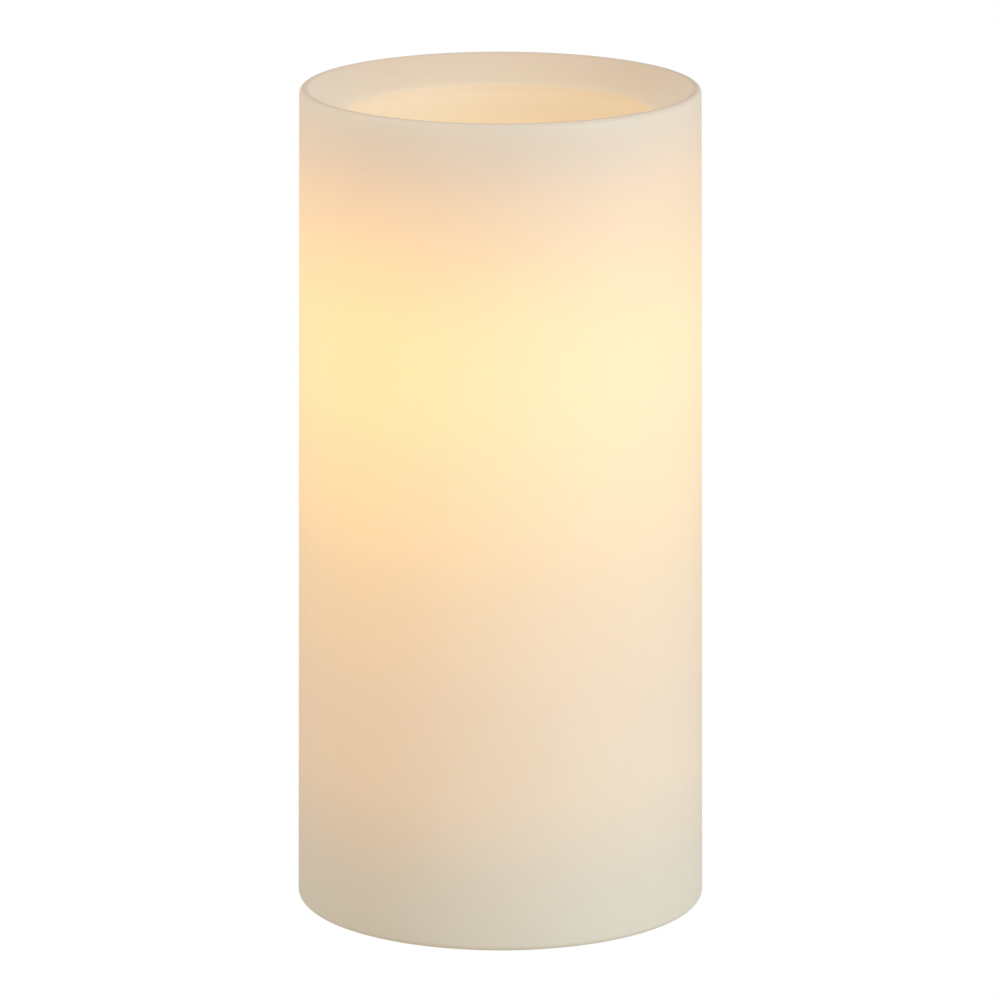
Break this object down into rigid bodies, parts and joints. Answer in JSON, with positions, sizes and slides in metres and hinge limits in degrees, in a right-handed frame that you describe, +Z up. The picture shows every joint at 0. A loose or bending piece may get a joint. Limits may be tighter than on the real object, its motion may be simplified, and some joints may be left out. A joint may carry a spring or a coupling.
{
  "type": "flameless led candle",
  "caption": "Flameless pillar candle: hollow glowing wax shell with a recessed well over a plastic base that holds cells, a slide switch and a hinged battery door.",
  "frame": {"origin": "centre of the round footprint, on the table under the foot pads", "axes": "+Z up along the pillar, +X to the right along the cells towards the door's latch, -Y the front, where the switch is"},
  "size_m": [0.0762, 0.0762, 0.155],
  "materials": {
    "ivory_wax": "satin",
    "clear_glue": "satin",
    "ivory_abs": "matte",
    "pad_rubber": "matte",
    "zinc_screw": "satin",
    "cell_jacket": "satin",
    "spring_steel": "satin",
    "nickel_plate": "satin",
    "switch_steel": "satin",
    "phenolic": "matte",
    "black_acetal": "satin",
    "tinned_brass": "satin",
    "green_board": "satin",
    "chip_epoxy": "matte",
    "crystal_can": "satin",
    "resistor_body": "matte",
    "capacitor_can": "satin",
    "white_post": "matte",
    "white_nylon": "matte",
    "amber_epoxy": "gloss",
    "tinned_steel": "satin",
    "frosted_lens": "matte",
    "red_wire": "satin",
    "black_wire": "satin"
  },
  "bodies": {
    "candle": {"wax_shell": "ivory_wax", "glue_beads": "clear_glue", "base_housing": "ivory_abs", "foot_pads": "pad_rubber", "top_cover": "ivory_abs", "cover_screws": "zinc_screw", "battery_1": "cell_jacket", "battery_2": "cell_jacket", "battery_3": "cell_jacket", "spring_1": "spring_steel", "spring_2": "spring_steel", "spring_3": "spring_steel", "negative_contact": "nickel_plate", "positive_contact": "nickel_plate", "jumper_contact_left": "nickel_plate", "jumper_contact_right": "nickel_plate", "switch_frame": "switch_steel", "switch_base": "phenolic", "switch_terminals": "tinned_brass", "circuit_board": "green_board", "board_screws": "zinc_screw", "control_chip": "chip_epoxy", "timer_crystal": "crystal_can", "resistors": "resistor_body", "capacitor": "capacitor_can", "led_post": "white_post", "led_holder": "white_nylon", "led": "amber_epoxy", "led_leads": "tinned_steel", "flame_lens": "frosted_lens", "led_wires": "red_wire", "battery_wires": "black_wire", "switch_wires": "red_wire"},
    "battery_door": {"battery_door": "ivory_abs"},
    "latch_tongue": {"latch_tongue": "ivory_abs"},
    "switch_button": {"switch_button": "black_acetal", "switch_slider": "black_acetal"}
  },
  "joints": [
    {"name": "battery_door_hinge", "type": "hinge", "parent": "candle", "child": "battery_door", "pos_m": [-0.028, 0, 0.0028], "axis": [0, 1, 0], "range_deg": [0, 90]},
    {"name": "latch_flex", "type": "hinge", "parent": "battery_door", "child": "latch_tongue", "pos_m": [0.028, 0, 0.0074], "axis": [0, 1, 0], "range_deg": [0, 8], "stiffness_Nm_per_rad": 0.02},
    {"name": "switch_slide", "type": "slide", "parent": "candle", "child": "switch_button", "axis": [1, 0, 0], "range_m": [-0.004, 0]}
  ]
}
